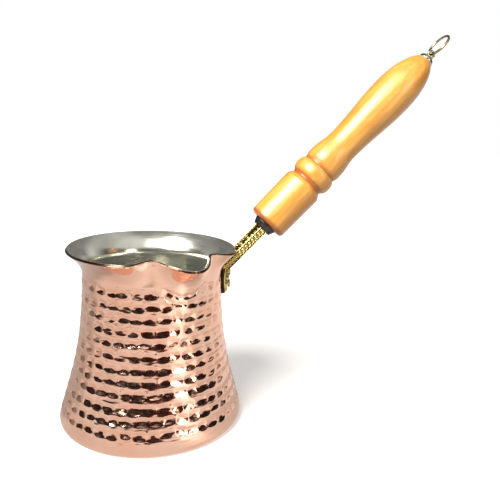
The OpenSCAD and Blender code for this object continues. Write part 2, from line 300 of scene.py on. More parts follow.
def hammering(phi, az, z):
    """Depth of the hammer marks at a grid of wall points (rows over z, columns over azimuth)."""
    depth = 0.04 * planished(z.shape, 1.6, 3.5) + 0.09 * planished(z.shape, 4.0, 9.0)
    depth *= ease((z - FOOT_TOP) / 5)
    throat = bell(phi - 3, 13) ** 0.7
    for i in range(ROW_COUNT):
        row_z = ROW_LOW + ROW_PITCH * i + rng.normal(0, 0.15)
        drift = 0.22 * np.sin(np.radians(az) + rng.uniform(0, 6.28))
        drift = drift + 0.12 * np.sin(3 * np.radians(az) + rng.uniform(0, 6.28))
        r = float(side_r(np.array(row_z)))
        n = int(round(2 * math.pi * r / MARK_PITCH))
        depth += ROW_DEEP * bell(z - row_z - drift, 1.25)
        phase = rng.uniform(0, 1)
        for k in range(n):
            mid = 360 * (k + phase + rng.normal(0, 0.06)) / n
            d = az - mid
            d = d - 360 * np.round(d / 360)
            half_w = MARK_HALF_W * (1 + rng.normal(0, 0.08))
            tall = 1 + rng.normal(0, 0.09)
            deep = MARK_DEEP * (1 + rng.normal(0, 0.15))
            up = rng.normal(0, 0.2)
            slant = rng.normal(0, 0.05)
            tip = rng.normal(0, 0.04)
            columns = np.nonzero(np.abs(d[0]) < MARK_REACH_AZ)[0]
            low, high = np.searchsorted(z[:, 0], [row_z - MARK_REACH_Z, row_z + MARK_REACH_Z])
            patch = np.ix_(range(low, high), columns)
            u = np.radians(d[patch]) * r
            v = z[patch] - row_z - drift[patch] - up - slant * u
            half_h = np.where(v < MARK_MID, MARK_BELOW, MARK_ABOVE) * tall
            across, along = np.abs(u / half_w), np.abs((v - MARK_MID) / half_h)
            q = np.power(np.power(across, 3.2) + np.power(along, 2.2), 1 / 2.6)
            depth[patch] += (deep + tip * v) * bowl(q)
    # The top rows bend round the smooth throat, and a crease runs along its lower edge
    crease = smile_z(phi)
    keep = 1 - throat * ease((z - crease + 3.0) / 3.0)
    side_fade = 1 - ease((z - HAMMER_TOP) / 1.6)
    depth *= np.clip(keep, 0, 1) * side_fade
    near = ease((22 - np.abs(phi - SMILE_MID)) / 6)
    wobble = 0.2 * np.sin(np.radians(phi) * 31 + 1.0)
    depth += 0.62 * near * bell(z - crease - wobble, 0.85) * (0.85 + 0.2 * np.sin(np.radians(phi) * 45))
    # A short second crease and one deep mark stand under it
    short = ease((11 - np.abs(phi + 9)) / 4)
    depth += 0.3 * short * bell(z - crease + 3.9, 0.6)
    depth += 0.45 * bell(phi + 8, 3.0) * bell(z - 66.3, 1.1)
    return depth


def pot_body():
    """The copper: up its outside from the middle of the base, over the rim, and down its inside."""
    columns = 800
    az = np.linspace(-180, 180, columns, endpoint=False)
    phi = from_lip(az)
    rows, marks = [], []

    def add(r, z, mark=0.0):
        rows.append((r, z))
        marks.append(mark + 0 * phi)

    for share in (0.03, 0.3, 0.6, 0.85, 0.97):
        add(INNER_FOOT * share, 0.12 * (1 - share))
    for a in arc(-90, FOOT_TILT, 18):
        add(INNER_FOOT + BASE_ROUND * math.cos(a), BASE_ROUND * (1 + math.sin(a)))
    side = np.linspace(FOOT_TOP, FLARE_Z + 0.5, 330)[1:]
    grid_z = np.repeat(side[:, None], columns, axis=1)
    grid_phi = np.repeat(phi[None, :], len(side), axis=0)
    grid_az = np.repeat(az[None, :], len(side), axis=0)
    depth = hammering(grid_phi, grid_az, grid_z)
    depth += 0.03 * (1 - np.cos(np.radians(3 * grid_az + 40))) * bell(grid_z - 40, 30)
    # Each row's mark value darkens the copper's colour in the hammer marks: painted shade
    for i in range(len(side)):
        r, z = skin(phi, grid_z[i], depth[i])
        add(r, z, np.clip(depth[i] / 0.4, 0, 1) * 0.5)
    # The flare is smooth, with file marks at its edge beside the lip
    teeth = 0.18 * ease((17 - np.abs(phi + 12)) / 4) * ease((np.sin(np.radians(phi) * 210) - 0.1) / 0.8)
    for u in np.linspace(0, 1, 52)[1:-1]:
        z = FLARE_Z + 0.5 + (rim_z(phi) - FLARE_Z - 0.5) * u
        dent = 0.05 * np.square(np.sin(np.radians(phi) * 9 + 3 * u)) * math.sin(math.pi * u)
        filed = teeth * ease((u - 0.80) / 0.08)
        r, z = skin(phi, z, dent + filed)
        add(r, z, 3 * filed)
    corner = 0.35
    for a in arc(0, 90, 6):
        deep = corner * (1 - math.cos(a)) + teeth * math.cos(a)
        back = corner * (1 - math.sin(a)) + teeth
        add(*rim_edge(phi, deep, back), math.sin(a) + 3 * teeth)
    add(*rim_edge(phi, COPPER_T * 0.7, 0.3 * teeth), 1.0)
    add(*rim_edge(phi, COPPER_T, 0.0), 1.0)
    for u in np.linspace(1, 0, 14)[1:]:
        add(*skin(phi, FLARE_Z + (rim_z(phi) - FLARE_Z) * u, COPPER_T))
    for z in np.linspace(FLARE_Z, BASE_ROUND, 24)[1:]:
        add(*skin(phi, z + 0 * phi, COPPER_T))
    inner_round = BASE_ROUND - COPPER_T
    for a in arc(0, -90, 8)[1:]:
        add(INNER_FOOT + inner_round * math.cos(a), BASE_ROUND + inner_round * math.sin(a))
    add(INNER_FOOT * 0.03, COPPER_T)
    return grid_mesh("hammered_copper", ring_rows(phi, az, rows), cap_first=True, cap_last=True,
                     attributes={"mark": np.array(marks)})


def tin_lining():
    """The tin: up against the copper from the middle of the floor, and down its own face."""
    columns = 480
    az = np.linspace(-180, 180, columns, endpoint=False)
    phi = from_lip(az)
    full = COPPER_T + TIN_T
    rows = [(INNER_FOOT * 0.03, COPPER_T)]
    outer_round, inner_round = BASE_ROUND - COPPER_T, BASE_ROUND - full
    for a in arc(-90, 0, 8):
        rows.append((INNER_FOOT + outer_round * math.cos(a), BASE_ROUND + outer_round * math.sin(a)))
    for z in np.linspace(BASE_ROUND, FLARE_Z, 24)[1:]:
        rows.append(skin(phi, z + 0 * phi, COPPER_T))
    for u in np.linspace(0, 1, 14)[1:]:
        rows.append(skin(phi, FLARE_Z + (rim_z(phi) - FLARE_Z) * u, COPPER_T))
    corner = 0.22
    for a in arc(90, 0, 5):
        rows.append(rim_edge(phi, full - corner * (1 - math.cos(a)), corner * (1 - math.sin(a))))

    def ripple(z):
        wide = 0.035 * np.sin(np.radians(phi) * 5 + z * 0.11)
        fine = 0.03 * np.sin(np.radians(phi) * 11 - z * 0.23)
        return (wide + fine) * ease((POT_H - z) / 5)

    for u in np.linspace(1, 0, 60)[1:]:
        z = FLARE_Z + (rim_z(phi) - FLARE_Z) * u
        rows.append(skin(phi, z, full + ripple(z) * 0.6))
    for z in np.linspace(FLARE_Z, BASE_ROUND, 130)[1:]:
        rows.append(skin(phi, z + 0 * phi, full + np.abs(ripple(z + 0 * phi))))
    for a in arc(0, -90, 12)[1:]:
        rows.append((INNER_FOOT + inner_round * math.cos(a), BASE_ROUND + inner_round * math.sin(a)))
    for share in (0.95, 0.8, 0.6, 0.4, 0.2, 0.03):
        rows.append((INNER_FOOT * share, full + 0.1 * (1 - share)))
    return grid_mesh("tin_inside", ring_rows(phi, az, rows), cap_first=True, cap_last=True)


# ---- Bracket ----

# Each pair of beads on the leaf: height, distance from the middle and radius
LEAF_BEADS = ((77.0, 2.6, 1.0), (74.0, 3.9, 1.3), (70.3, 4.1, 1.35), (66.9, 2.9, 1.1))
# The figures that repeat along the arm's upper face and its sides, and the boss's bands
TOP_START, TOP_PITCH = 5.0, 4.6
SIDE_START, SIDE_PITCH = 3.3, 2.3
BOSS_PITCH = 2.3


def leaf_half(z):
    """Half the leaf plate's width, between two arcs that meet at its top and its foot."""
    r = ((LEAF_LEN / 2) ** 2 + (LEAF_W / 2) ** 2) / LEAF_W
    return np.sqrt(np.maximum(r * r - np.square(z - LEAF_Z), 0)) - (r - LEAF_W / 2)


def over_neck(z, y, gap):
    """How far along +X a surface lies that follows the neck at a gap, y to the side of the handle's plane."""
    return np.sqrt(np.maximum(np.square(wall_r(180, z) + gap) - y * y, 0))


def bump(u, v, size, height):
    """A round bead of the given radius and height."""
    q = (np.square(u) + np.square(v)) / (size * size)
    return height * np.sqrt(np.clip(1 - q, 0, 1))


def leaf():
    """The leaf plate: its front carries a crown, veins and beads, and its back follows the neck."""
    rows, front, back = 150, 90, 14
    z = LEAF_Z + LEAF_LEN / 2 * np.linspace(-0.995, 0.995, rows)[:, None]
    u = np.linspace(-1, 1, front)[None, :]
    half = leaf_half(z)
    y = half * np.sin(u * math.pi / 2)
    # The smooth front: the plate and the crown, blended. Beside the crown only the plate counts.
    plate = over_neck(np.minimum(z, FLARE_Z), y, SEAT_GAP + LEAF_EDGE_T)
    crown_r = (CROWN_T + CROWN_BURY) * np.sqrt(np.maximum(0, 1 - np.square((z - LEAF_Z) / (LEAF_LEN * 0.6))))
    crown = float(side_r(np.array(LEAF_Z))) - CROWN_BURY + np.sqrt(np.maximum(crown_r ** 2 - y * y, 0))
    crown = crown - 60 * (np.abs(y) >= crown_r)
    blend = 1.6
    top = np.logaddexp(blend * plate, blend * np.maximum(crown, plate - 5)) / blend - 0.35
    # The relief on it
    relief = np.zeros_like(top)
    for bead_z, bead_y, size in LEAF_BEADS:
        for side in (-1, 1):
            relief = np.maximum(relief, bump(y - side * bead_y, z - bead_z, size, 0.85))
    vein = 0.3 * bell(y, 0.35)
    lines = 0.16 * np.square(np.sin((z - 0.9 * np.abs(y)) * 2.3)) * (np.abs(y) > 0.7)
    border = 0.3 * ease((np.abs(y) - half + 1.0) / 0.4)
    relief = np.maximum(relief, np.maximum(vein, np.maximum(lines, border)))
    edge = np.clip((np.abs(u) - 0.86) / 0.14, 0, 1)
    round_off = 0.7 * (1 - np.sqrt(1 - np.square(edge)))
    x = np.maximum(top - 0.45 + relief - round_off, over_neck(z, y, SEAT_GAP) + 0.25)
    front_points = np.stack([x, y, z + 0 * y], axis=-1)
    y_back = half * np.sin(np.linspace(1, -1, back)[None, :] * math.pi / 2)
    back_points = np.stack([over_neck(z, y_back, SEAT_GAP), y_back, z + 0 * y_back], axis=-1)
    points = np.concatenate([front_points, back_points], axis=1)
    # Darker in the relief's hollows, and painted shade on the plate's edges and on its back against the neck
    hollow_and_shade = np.clip(1 - relief / 0.28, 0, 1) * 0.75
    hollow_and_shade = np.maximum(hollow_and_shade, 0.95 * ease((np.abs(u) - 0.86) / 0.1))
    hollow_and_shade = np.concatenate([hollow_and_shade, np.ones_like(y_back)], axis=1)
    shade = {"hollow_and_shade": hollow_and_shade[:, ::-1]}
    return grid_mesh("leaf", points[:, ::-1], cap_first=True, cap_last=True, attributes=shade)


def from_figure(s, start, pitch):
    """Distance along the handle from the middle of a figure that repeats at a pitch."""
    return (s + start) % pitch - pitch / 2


def top_relief(s, y, half_w):
    """Height of the beads, crossed leaves and edge ridges on the arm's upper face."""
    mid, gap = from_figure(s, TOP_START, TOP_PITCH), from_figure(s, TOP_START + TOP_PITCH / 2, TOP_PITCH)
    h = bump(mid, y, 0.95, 0.55)
    for side in (-1, 1):
        out = y * side - 2.6
        for lean in (-1, 1):
            a = mid * 0.8 + lean * out * 0.6
            b = -lean * mid * 0.6 + out * 0.8
            h = np.maximum(h, 0.42 * np.sqrt(np.clip(1 - np.square(a / 1.3) - np.square(b / 0.42), 0, 1)))
        h = np.maximum(h, bump(gap, y * side - 3.1, 0.72, 0.5))
    return np.maximum(h, 0.62 * ease((np.abs(y) - half_w + 0.95) / 0.25))


def side_relief(s, t):
    """Height of the ringed beads and edge ridges on the arm's sides, t from the middle of the side."""
    mid, gap = from_figure(s, SIDE_START, SIDE_PITCH), from_figure(s, SIDE_START + SIDE_PITCH / 2, SIDE_PITCH)
    h = np.maximum(0.34 * bell(np.hypot(mid, t) - 0.78, 0.17), bump(mid, t, 0.36, 0.36))
    for at in (-1.15, 1.15):
        h = np.maximum(h, bump(gap, t - at, 0.42, 0.34))
    return np.maximum(h, 0.4 * ease((np.abs(t) - (ARM_TOP_T + ARM_LOW_T) / 2 + 0.5) / 0.2))


def arm():
    """The cast arm: floral relief on its upper face and sides, with polished ridges between them."""
    step, corner, top_n, side_n, low_n = 0.13, 0.35, 96, 40, 30
    s = np.arange(-COLLAR_LEN - 0.02, -COLLAR_LEN - ARM_LEN, -step)
    share = (-COLLAR_LEN - s) / ARM_LEN
    # The arm narrows a little over its first part and then down to the neck
    bend, bend_w = 0.55, ARM_W / 2 - 0.7
    half_w = np.where(share < bend, ARM_W / 2 - 0.7 * share / bend,
                      bend_w + (ARM_NECK_W / 2 - bend_w) * (share - bend) / (1 - bend))
    rows, hollow_and_shade_rows = [], []
    for at, half in zip(s, half_w):
        y = np.linspace(-1, 1, top_n) * (half - corner)
        h = top_relief(at, y, half)
        groove = 0.12 * bell(np.abs(y) - half + 1.3, 0.22)
        upper = np.stack([-ARM_TOP_T + 0.62 - h + groove, y], axis=-1)
        upper_hollow = np.clip(1 - h / 0.3, 0, 1) * 0.9
        x = np.linspace(-ARM_TOP_T + corner, ARM_LOW_T - corner, side_n)
        h = side_relief(at, x - (ARM_LOW_T - ARM_TOP_T) / 2)
        side = np.stack([x, half - 0.4 + h], axis=-1)
        side_hollow = np.clip(1 - h / 0.22, 0, 1) * 0.8
        # The underside is plain, with a rounded middle; its colour gets painted shade
        y = -np.linspace(-1, 1, low_n) * (half - corner)
        lower = np.stack([ARM_LOW_T - 0.12 * np.square(y / half), y], axis=-1)
        outline = np.concatenate([upper, side, lower, side[::-1] * (1, -1)])
        rows.append(np.column_stack([outline, np.full(len(outline), at)]))
        hollow_and_shade_rows.append(np.concatenate([upper_hollow, side_hollow, np.full(low_n, 0.35), side_hollow[::-1]]))
    points = place(np.array(rows))
    # Where the arm runs into the neck it stops at the copper
    r = np.hypot(points[..., 0], points[..., 1])
    need = wall_r(180, np.minimum(points[..., 2], rim_z(180))) + 0.25
    scale = np.where((r < need) & (points[..., 2] < POT_H - 3.5), need / np.maximum(r, 1), 1.0)
    points[..., 0] *= scale
    points[..., 1] *= scale
    return grid_mesh("arm", points, cap_first=True, cap_last=True, attributes={"hollow_and_shade": np.array(hollow_and_shade_rows)})


def boss():
    """The round boss in the collar, with beaded bands round the part that shows."""
    low = -COLLAR_LEN - ROD_GRAB - 1.4
    high = -COLLAR_LEN - 0.3
    r = BOSS_D / 2

    def wavy(s):
        return np.abs(np.sin((s - high) * math.pi / BOSS_PITCH))

    s = np.linspace(low + 0.9, high, 90)
    bands = 0.35 * (1 - wavy(s))
    profile = [(0.4, low), (r - 0.8, low), (r - 0.25, low + 0.25)]
    profile += list(zip(r - bands, s)) + [(0.4, high + 0.28)]

    def shade(p):
        spots = wavy(p[..., 2]) * np.abs(np.cos(3 * np.arctan2(p[..., 1], p[..., 0])))
        return 0.75 * (1 - ease((spots - 0.55) / 0.3))

    return lathe("boss", profile, GRIP_AT, AXIS, UNDER, columns=96, attributes={"hollow_and_shade": shade})


def joined(name, parts):
    """Several meshes as one object."""
    bpy.ops.object.select_all(action="DESELECT")
    for p in parts:
        p.select_set(True)
    bpy.context.view_layer.objects.active = parts[0]
    bpy.ops.object.join()
    parts[0].name = name
    return parts[0]


# ---- Rivets ----

def rivet(name, cad_node):
    """A rivet with a domed head inside the pot and a peened tail on the crown."""
    low, high = (np.array(corner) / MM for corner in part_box(cad_node))
    head_r, head_h, shank_r, tail_r, tail_h, tail_dome = (high[2] - low[2]) / 2, 1.1, 1.5, 2.2, 1.0, 0.4
    length = high[0] - low[0]
    profile = [(0.05, 0.0)]
    for a in arc(10, 90, 10):
        profile.append((head_r * math.sin(a), head_h * (1 - math.cos(a)) * 0.98))
    profile += [(shank_r, head_h), (shank_r, length - tail_h)]
    profile += [(tail_r, length - tail_h), (tail_r, length - tail_dome)]
    for a in arc(15, 88, 7):
        profile.append((tail_r * math.cos(a) * 0.98, length - tail_dome + tail_dome * math.sin(a)))
    at = np.array([low[0], 0, (low[2] + high[2]) / 2])
    return lathe(name, profile, at, np.array([1.0, 0, 0]), np.array([0, 0, 1.0]), columns=48)


# ---- Grip and end fitting ----

def wave(r0, z0, r1, z1, steps):
    """Points of a profile that goes from one radius to another like half a wave."""
    return [(r0 + (r1 - r0) * (1 - math.cos(math.pi * i / steps)) / 2, z0 + (z1 - z0) * i / steps)
            for i in range(steps + 1)]


PROFILE_STEP = 0.2


def smoothed(r, spread, reach):
    """A profile's radii with its corners softened over a spread in millimetres."""
    kernel = bell(np.arange(-reach, reach + 1) * PROFILE_STEP, spread)
    kernel /= kernel.sum()
    return np.convolve(np.pad(r, reach, mode="edge"), kernel, mode="valid")


def grip_profile():
    """Places along the grip, its radius there, and how much painted shade it gets in a groove or next to the
    collar.
    """
    bead_z = GRIP_PLAIN + GROOVE_W / 2
    foot = GRIP_D / 2 - GROOVE_T * 0.6
    shoulder_z = bead_z + BEAD_LEN + GROOVE_W / 2
    shoulder_r = (GRIP_D + WAIST_D) / 4 + 0.7
    bulge_z = GRIP_LEN - TIP_LEN
    waist_z = shoulder_z + 4.4 + (bulge_z - shoulder_z - 4.4) * 0.24
    pts = [(GRIP_D / 2 - 1.9, 0.0), (GRIP_D / 2 - 0.6, 0.5), (GRIP_D / 2 - 0.1, 1.6), (GRIP_D / 2, 3.0),
           (GRIP_D / 2 + 0.4, GRIP_PLAIN - GROOVE_W), (GRIP_D / 2 - 0.5, GRIP_PLAIN - GROOVE_W / 2),
           (GRIP_D / 2 - GROOVE_T, GRIP_PLAIN)]
    for a in arc(0, 180, 15):
        pts.append((foot + (BEAD_D / 2 - foot) * math.sin(a), bead_z + BEAD_LEN / 2 * (1 - math.cos(a))))
    pts += [(shoulder_r - 0.5, shoulder_z), (shoulder_r, shoulder_z + GROOVE_W / 2)]
    pts += wave(shoulder_r, shoulder_z + 4.4, WAIST_D / 2, waist_z, 16)
    pts += wave(WAIST_D / 2, waist_z + 2, BULGE_D / 2, bulge_z, 24)
    # The tip is part of a rounded end that would close further out
    power = 2.2
    cut = (1 - (GRIP_END_D / BULGE_D) ** 2) ** (1 / power)
    for i in range(1, 29):
        u = cut * math.sin(math.radians(90 * i / 28))
        pts.append((BULGE_D / 2 * math.sqrt(1 - u ** power), bulge_z + u / cut * TIP_LEN))
    pts = np.array(pts)
    s = np.arange(0, GRIP_LEN + 0.01, PROFILE_STEP)
    r = np.interp(s, pts[:, 1], pts[:, 0])
    soft = smoothed(r, 0.22, 6)
    broad = smoothed(soft, 2.2, 25)
    # Grooves, and the wood next to the collar, get painted shade: a darker colour
    groove = np.clip((broad - soft) / 0.7, 0, 1)
    groove[s > 100] = 0
    groove = np.maximum(groove, 0.95 * ease((3.4 - s) / 2.2))
    return s, np.minimum(soft, r + 0.12), groove


def grip():
    s, r, groove = grip_profile()
    columns = 160
    profile = [(BORE_R, 0.02)] + [(BORE_R + (r[0] - BORE_R) * k, 0.0) for k in (0.3, 0.7, 0.94)]
    profile += list(zip(r, s)) + [(r[-1] * 0.7, GRIP_LEN), (BORE_R, GRIP_LEN)]
    # The end faces get painted shade too
    shade = np.concatenate([np.full(4, 0.9), groove, np.full(2, 0.5)])
    return lathe("turned_grip", profile, GRIP_AT, AXIS, UNDER, columns=columns, attributes={
        "grip": lambda p: p,
        "groove": lambda p: np.repeat(shade[:, None], columns, axis=1),
    })


def collar():
    low, high, bore = COLLAR_LOW_D / 2, COLLAR_D / 2, 2.3
    z = -COLLAR_LEN
    profile = [(bore, z), (low - 0.35, z), (low - 0.1, z + 0.12), (low, z + 0.4),
               (high - 0.1, -0.75), (high, -0.35), (high - 0.12, -0.06), (bore, -0.01)]
    return lathe("collar_dark", profile, GRIP_AT, AXIS, UNDER)


def end_cap():
    profile = [(2.3, GRIP_LEN + 0.01), (CAP_D / 2 - 0.2, GRIP_LEN + 0.01), (CAP_D / 2, GRIP_LEN + 0.12)]
    for a in arc(0, 90, 14):
        r = FOOT_D / 2 + (CAP_D - FOOT_D) / 2 * math.cos(a)
        profile.append((r, GRIP_LEN + CAP_H * (0.15 + 0.85 * math.sin(a))))
    profile.append((1.2, GRIP_LEN + CAP_H))
    return lathe("cap_dome", profile, GRIP_AT, AXIS, UNDER, columns=72)


def eye():
    """The eye bolt: a turned foot on the cap, the stud inside the wood, and the eye itself."""
    r, low, high = FOOT_D / 2, GRIP_LEN + CAP_H, GRIP_LEN + CAP_H + FOOT_H
    turned = [(0.3, low), (r - 0.15, low), (r, low + 0.15), (r, high - 0.25), (r - 0.35, high),
              (0.9, high + 0.35), (0.3, high + 0.4)]
    foot = lathe("eye_foot", turned, GRIP_AT, AXIS, UNDER, columns=48)
    pin = [(0.3, GRIP_LEN - 4.5), (1.1, GRIP_LEN - 4.4), (1.1, low + 0.3), (0.3, low + 0.35)]
    stud = lathe("eye_stud", pin, GRIP_AT, AXIS, UNDER, columns=32)
    loop = torus("eye_loop", EYE_AT, SIDE, AXIS, (EYE_HOLE + EYE_WIRE) / 2, EYE_WIRE, columns=96)
    return joined("eye_bolt", [foot, stud, loop])


def ring():
    """The ring, leaning in its eye, with a thin line where the wire's ends meet."""
    along = math.cos(RING_LEAN) * AXIS + math.sin(RING_LEAN) * UNDER
    across = math.cos(RING_LEAN) * UNDER - math.sin(RING_LEAN) * AXIS
    r = (RING_D - RING_WIRE) / 2

    def joint(a):
        return 1 - 0.14 * np.exp(-np.square((a - 1.15) / 0.03))

    return torus("key_ring", EYE_AT + r * along, across, along, r, RING_WIRE, columns=360, squash=joint)


# ---- Materials ----

def material(name):
    m = bpy.data.materials.new(name)
    m.use_nodes = True
    tree = m.node_tree
    return m, tree, tree.nodes["Principled BSDF"]


def node(tree, kind, **settings):
    n = tree.nodes.new(kind)
    for key, value in settings.items():
        setattr(n, key, value)
    return n


def noise(tree, coords, scale, detail=4.0, rough=0.55, stretch=None):
    if stretch is not None:
        mapping = node(tree, "ShaderNodeMapping")
        mapping.inputs["Scale"].default_value = stretch
        tree.links.new(coords, mapping.inputs["Vector"])
        coords = mapping.outputs["Vector"]
    n = node(tree, "ShaderNodeTexNoise")
    n.inputs["Scale"].default_value = scale
    n.inputs["Detail"].default_value = detail
    n.inputs["Roughness"].default_value = rough
    tree.links.new(coords, n.inputs["Vector"])
    return n.outputs["Fac"]


def ramp(tree, fac, stops):
    n = node(tree, "ShaderNodeValToRGB")
    while len(n.color_ramp.elements) < len(stops):
        n.color_ramp.elements.new(0.5)
    for element, (at, colour) in zip(n.color_ramp.elements, stops):
        element.position = at
        element.color = (*colour, 1)
    tree.links.new(fac, n.inputs["Fac"])
    return n.outputs["Color"]


def remap(tree, fac, low, high, out_low, out_high):
    n = node(tree, "ShaderNodeMapRange")
    n.inputs["From Min"].default_value = low
    n.inputs["From Max"].default_value = high
    n.inputs["To Min"].default_value = out_low
    n.inputs["To Max"].default_value = out_high
    tree.links.new(fac, n.inputs["Value"])
    return n.outputs["Result"]


def mix(tree, fac, a, b):
    n = node(tree, "ShaderNodeMix", data_type="RGBA")
    for socket, value in ((n.inputs[0], fac), (n.inputs[6], a), (n.inputs[7], b)):
        if isinstance(value, (int, float)):
            socket.default_value = value
        elif isinstance(value, tuple):
            socket.default_value = (*value, 1)
        else:
            tree.links.new(value, socket)
    return n.outputs[2]


def bumped(tree, bsdf, height, strength, distance):
    """Fine unevenness of a surface, with its depth in metres."""
    n = node(tree, "ShaderNodeBump")
    n.inputs["Strength"].default_value = strength
    n.inputs["Distance"].default_value = distance
    tree.links.new(height, n.inputs["Height"])
    tree.links.new(n.outputs["Normal"], bsdf.inputs["Normal"])


def object_coords(tree):
    return node(tree, "ShaderNodeTexCoord").outputs["Object"]


def attribute(tree, name, vector=False):
    n = node(tree, "ShaderNodeAttribute", attribute_name=name)
    return n.outputs["Vector" if vector else "Fac"]


def copper_material():
    m, tree, bsdf = material("copper")
    coords = object_coords(tree)
    bsdf.inputs["Metallic"].default_value = 1.0
    cloud = noise(tree, coords, 45, 3)
    fine = noise(tree, coords, 420, 4)
    base = ramp(tree, cloud, [(0.3, (0.94, 0.54, 0.39)), (0.7, (0.97, 0.64, 0.50))])
    mark = attribute(tree, "mark")
    # Painted shade: the copper is darker where the mark value is up, in the hammer marks and the file marks
    painted_mark_shade = remap(tree, mark, 0.1, 0.5, 0.0, 0.28)
    tone = mix(tree, painted_mark_shade, base, (0.86, 0.40, 0.28))
    edge = remap(tree, mark, 0.55, 0.85, 0.0, 1.0)
    tone = mix(tree, edge, tone, (0.10, 0.055, 0.035))
    tree.links.new(tone, bsdf.inputs["Base Color"])
    rough = remap(tree, fine, 0.35, 0.75, 0.09, 0.2)
    tree.links.new(rough, bsdf.inputs["Roughness"])
    scratches = noise(tree, coords, 900, 2, 0.6, stretch=(1, 1, 0.12))
    bumped(tree, bsdf, scratches, 0.12, 0.00006)
    return m


def tin_material():
    m, tree, bsdf = material("tin")
    coords = object_coords(tree)
    bsdf.inputs["Metallic"].default_value = 0.9
    cloud = noise(tree, coords, 70, 4)
    base = ramp(tree, cloud, [(0.3, (0.56, 0.56, 0.49)), (0.7, (0.72, 0.72, 0.67))])
    tree.links.new(base, bsdf.inputs["Base Color"])
    fine = noise(tree, coords, 600, 3, 0.6, stretch=(0.1, 0.1, 1.6))
    tree.links.new(remap(tree, fine, 0.3, 0.7, 0.12, 0.26), bsdf.inputs["Roughness"])
    rings = node(tree, "ShaderNodeTexWave", wave_type="RINGS", rings_direction="Z")
    rings.inputs["Scale"].default_value = 260
    rings.inputs["Distortion"].default_value = 1.5
    rings.inputs["Detail"].default_value = 2
    rings.inputs["Detail Scale"].default_value = 0.6
    tree.links.new(coords, rings.inputs["Vector"])
    bumped(tree, bsdf, rings.outputs["Fac"], 0.08, 0.0001)
    return m


def brass_material(name, bright, dark, rough):
    m, tree, bsdf = material(name)
    coords = object_coords(tree)
    bsdf.inputs["Metallic"].default_value = 1.0
    cloud = noise(tree, coords, 350, 4)
    base = ramp(tree, cloud, [(0.3, tuple(c * 0.85 for c in bright)), (0.7, bright)])
    hollow_and_shade = attribute(tree, "hollow_and_shade")
    # The colour goes towards the dark one in the relief's hollows, and as painted shade on the bracket's
    # edges, back and underside
    tone = mix(tree, remap(tree, hollow_and_shade, 0.12, 0.62, 0.0, 0.97), base, dark)
    tree.links.new(tone, bsdf.inputs["Base Color"])
    tree.links.new(remap(tree, hollow_and_shade, 0.0, 1.0, rough, rough + 0.25), bsdf.inputs["Roughness"])
    grain = noise(tree, coords, 1500, 3)
    bumped(tree, bsdf, grain, 0.25, 0.0001)
    return m


def steel_material(name, dark, light, rough_low, rough_high):
    m, tree, bsdf = material(name)
    coords = object_coords(tree)
    bsdf.inputs["Metallic"].default_value = 1.0
    cloud = noise(tree, coords, 500, 4)
    tree.links.new(ramp(tree, cloud, [(0.3, dark), (0.72, light)]), bsdf.inputs["Base Color"])
    rough = remap(tree, noise(tree, coords, 1300, 3), 0.3, 0.7, rough_low, rough_high)
    tree.links.new(rough, bsdf.inputs["Roughness"])
    bumped(tree, bsdf, noise(tree, coords, 2500, 2), 0.15, 0.00005)
    return m


def wood_material():
    m, tree, bsdf = material("varnished_wood")
    coords = attribute(tree, "grip", vector=True)
    streak = noise(tree, coords, 0.42, 5, 0.6, stretch=(1, 1, 0.05))
    fibre = noise(tree, coords, 3.0, 4, 0.65, stretch=(1, 1, 0.03))
    cloud = noise(tree, coords, 0.10, 3, 0.5, stretch=(1, 1, 0.45))
    rings = node(tree, "ShaderNodeTexWave", wave_type="BANDS", bands_direction="DIAGONAL")
    rings.inputs["Scale"].default_value = 0.16
    rings.inputs["Distortion"].default_value = 5.0
    rings.inputs["Detail"].default_value = 3
    rings.inputs["Detail Scale"].default_value = 0.35
    squeeze = node(tree, "ShaderNodeMapping")
    squeeze.inputs["Scale"].default_value = (1, 1, 0.12)
    tree.links.new(coords, squeeze.inputs["Vector"])
    tree.links.new(squeeze.outputs["Vector"], rings.inputs["Vector"])
    light, warm = (1.0, 0.66, 0.17), (0.92, 0.42, 0.06)
    deep, groove_shade_colour = (0.58, 0.15, 0.012), (0.40, 0.095, 0.003)
    base = ramp(tree, streak, [(0.32, warm), (0.68, light)])
    base = mix(tree, remap(tree, rings.outputs["Fac"], 0.45, 1.0, 0.0, 0.6), base, warm)
    base = mix(tree, remap(tree, fibre, 0.45, 0.8, 0.0, 0.6), base, deep)
    base = mix(tree, remap(tree, cloud, 0.45, 0.75, 0.0, 0.4), base, deep)
    # Painted shade in the grooves, next to the collar and on the end faces
    base = mix(tree, remap(tree, attribute(tree, "groove"), 0.05, 0.9, 0.0, 0.85), base, groove_shade_colour)
    tree.links.new(base, bsdf.inputs["Base Color"])
    tree.links.new(remap(tree, fibre, 0.3, 0.8, 0.28, 0.4), bsdf.inputs["Roughness"])
    bsdf.inputs["Coat Weight"].default_value = 1.0
    bsdf.inputs["Coat Roughness"].default_value = 0.38
    bsdf.inputs["Coat Tint"].default_value = (1.0, 0.88, 0.66, 1)
    bsdf.inputs["Coat IOR"].default_value = 1.8
    bsdf.inputs["Specular IOR Level"].default_value = 0.15
    bumped(tree, bsdf, fibre, 0.08, 0.00012)
    return m


# ---- Stage ----

def seen_only_by(obj, ray):
    """Leaves an object visible to one kind of ray, such as the camera's or reflections'."""
    for kind in ("camera", "diffuse", "glossy", "transmission", "volume_scatter", "shadow"):
        setattr(obj, "visible_" + kind, kind == ray)


# The photo's camera, solved from the silhouette. Yaw turns to the right of +Y and pitch looks down.
CAMERA_AT = Vector((-0.0221, -0.2803, 0.1537))
CAMERA_YAW = math.radians(17.57)
CAMERA_PITCH = math.radians(12.70)
CAMERA_ROLL = math.radians(3.16)
LENS_PER_WIDTH = 560 / 500
SENSOR = 36.0
SHIFT_X = -0.06
FRONT_AZ = math.degrees(math.atan2(CAMERA_AT.y, CAMERA_AT.x))


